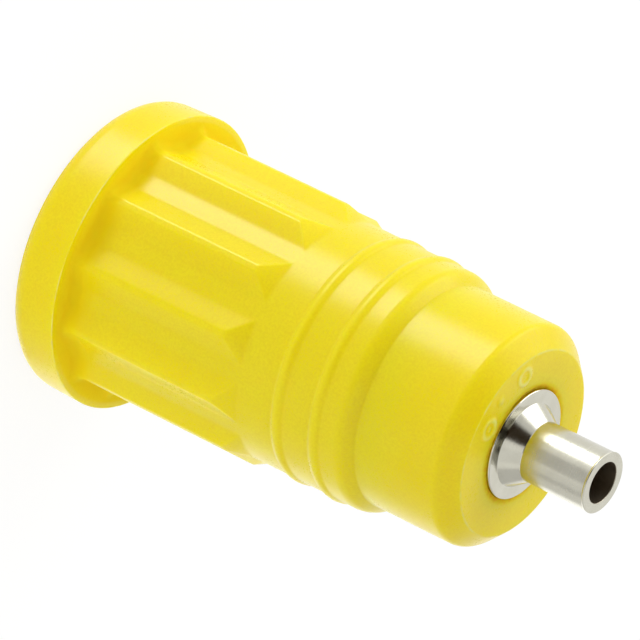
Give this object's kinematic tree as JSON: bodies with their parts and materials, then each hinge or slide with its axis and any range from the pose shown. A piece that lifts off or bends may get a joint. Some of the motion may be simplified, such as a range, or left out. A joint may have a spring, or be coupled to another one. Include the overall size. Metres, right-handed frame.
{
  "type": "banana socket",
  "caption": "Shrouded banana socket with a ribbed press-in body, a round front flange and a hollow round tail.",
  "frame": {"origin": "centre of the flange's flat front face, on which the socket stands", "axes": "+Z along the socket's axis, from the plug opening to the hollow tail; one rib crest lies on +X"},
  "size_m": [0.0144, 0.0144, 0.0284],
  "materials": {
    "insulating_body": "satin moulded polyamide, bright yellow, slightly translucent",
    "contact": "turned brass with bright nickel plate"
  },
  "bodies": {
    "root": {"insulating_body": "insulating_body", "contact": "contact"}
  },
  "joints": []
}
